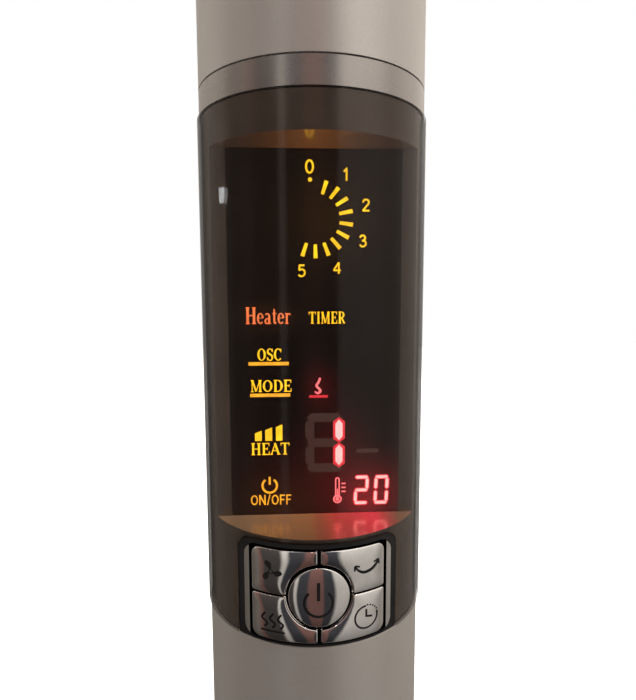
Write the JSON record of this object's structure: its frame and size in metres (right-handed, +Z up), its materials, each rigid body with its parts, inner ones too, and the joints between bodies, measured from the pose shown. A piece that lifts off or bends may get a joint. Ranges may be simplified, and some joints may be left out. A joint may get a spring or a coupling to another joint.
{
  "type": "ceramic tower heater",
  "caption": "Oscillating ceramic tower heater: round weighted base, turning silver column, smoked display cover, chrome key pad, front warm air grille and rear filter.",
  "frame": {"origin": "centre of the footprint, on the floor", "axes": "+Z up along the column, the display and warm air grille face -Y, +X to the viewer's right"},
  "size_m": [0.23, 0.23, 0.7729],
  "materials": {
    "silver_paint": "satin metallic paint on moulded plastic",
    "trim_silver": "gloss metallic paint",
    "smoked_clear": "polished smoked acrylic",
    "inner_black": "fine texture",
    "display_black": "polished",
    "key_chrome": "bright plated",
    "grille_black": "fine texture",
    "base_silver": "satin metallic paint on moulded plastic",
    "rubber_black": "matt",
    "steel_plain": "plain",
    "steel_dark": "black coating",
    "cast_grey": "as cast",
    "nylon_natural": "moulded",
    "ptfe_white": "smooth",
    "abs_black": "moulded",
    "abs_red": "moulded",
    "board_green": "solder mask",
    "led_lens": "diffused",
    "light_white": "diffusing",
    "ceramic_white": "fired",
    "fin_aluminium": "rolled",
    "pps_ivory": "moulded",
    "bronze_bush": "sintered",
    "filter_black": "woven nylon mesh",
    "wire_mixed": "silicone sleeve"
  },
  "bodies": {
    "base": {"base_housing": "base_silver", "base_plate": "abs_black", "base_weight": "cast_grey", "rubber_feet": "rubber_black", "base_screws": "steel_plain", "pivot_bush": "nylon_natural", "glide_washer": "ptfe_white", "osc_motor": "steel_plain", "osc_motor_screws": "steel_plain", "cord_gland": "rubber_black", "tip_switch": "abs_black", "tip_spring": "steel_plain"},
    "pinion": {"osc_pinion": "nylon_natural"},
    "plunger": {"tip_plunger": "abs_red"},
    "power_key": {"power_key": "key_chrome"},
    "mode_key": {"mode_key": "key_chrome"},
    "oscillation_key": {"oscillation_key": "key_chrome"},
    "heat_key": {"heat_key": "key_chrome"},
    "timer_key": {"timer_key": "key_chrome"},
    "impeller": {"impeller": "abs_black", "fan_shaft": "steel_plain"},
    "filter": {"filter_frame": "silver_paint", "filter_mesh": "filter_black"},
    "rocker": {"main_rocker": "abs_red"},
    "column": {"turntable": "abs_black", "sector_gear": "nylon_natural", "spindle_nut": "steel_plain", "rear_shell": "silver_paint", "lower_front_cover": "silver_paint", "upper_front_cover": "silver_paint", "trim_ring": "trim_silver", "smoke_cover": "smoked_clear", "display_frame": "inner_black", "display_mask": "display_black", "light_box": "light_white", "display_board": "board_green", "display_leds": "led_lens", "key_surround": "inner_black", "key_bezel": "key_chrome", "key_board": "board_green", "tact_switches": "abs_black", "front_grille": "grille_black", "element_frame": "pps_ivory", "element_stones": "ceramic_white", "element_fins": "fin_aluminium", "thermal_cutout": "abs_black", "air_duct": "steel_dark", "fan_motor": "steel_dark", "motor_bracket": "steel_plain", "bearing_plate": "steel_plain", "upper_bearing": "bronze_bush", "rear_grille": "grille_black", "grip_cup": "grille_black", "top_cap": "silver_paint", "shell_screws": "steel_dark", "main_board": "board_green", "heater_leads": "wire_mixed", "main_switch": "abs_black"}
  },
  "joints": [
    {"name": "column_swing", "type": "hinge", "parent": "base", "child": "column", "pos_m": [0, 0, 0.036], "axis": [0, 0, 1], "range_deg": [-32, 32]},
    {"name": "pinion_spin", "type": "hinge", "parent": "base", "child": "pinion", "pos_m": [0, 0.05631, 0.02], "axis": [0, 0, 1], "range_deg": [-130, 130]},
    {"name": "plunger_drop", "type": "slide", "parent": "base", "child": "plunger", "axis": [0, 0, 1], "range_m": [-0.004, 0], "stiffness_N_per_m": 60, "springref_m": -0.008, "deforming": ["tip_spring"]},
    {"name": "impeller_spin", "type": "hinge", "parent": "column", "child": "impeller", "pos_m": [0, 0.0085, 0.5], "axis": [0, 0, 1], "continuous": true},
    {"name": "filter_lift", "type": "slide", "parent": "column", "child": "filter", "axis": [0, 1, 0], "range_m": [0, 0.06]},
    {"name": "rocker_tilt", "type": "hinge", "parent": "column", "child": "rocker", "pos_m": [0, 0.0525, 0.061], "axis": [1, 0, 0], "range_deg": [0, 18]},
    {"name": "power_key_press", "type": "slide", "parent": "column", "child": "power_key", "axis": [0, 1, 0], "range_m": [0, 0.001], "stiffness_N_per_m": 900, "springref_m": -0.0006},
    {"name": "mode_key_press", "type": "slide", "parent": "column", "child": "mode_key", "axis": [0, 1, 0], "range_m": [0, 0.001], "stiffness_N_per_m": 900, "springref_m": -0.0006},
    {"name": "oscillation_key_press", "type": "slide", "parent": "column", "child": "oscillation_key", "axis": [0, 1, 0], "range_m": [0, 0.001], "stiffness_N_per_m": 900, "springref_m": -0.0006},
    {"name": "heat_key_press", "type": "slide", "parent": "column", "child": "heat_key", "axis": [0, 1, 0], "range_m": [0, 0.001], "stiffness_N_per_m": 900, "springref_m": -0.0006},
    {"name": "timer_key_press", "type": "slide", "parent": "column", "child": "timer_key", "axis": [0, 1, 0], "range_m": [0, 0.001], "stiffness_N_per_m": 900, "springref_m": -0.0006}
  ],
  "couplings": [
    {"joint": "pinion_spin", "follows": "column_swing", "ratio": -4}
  ]
}
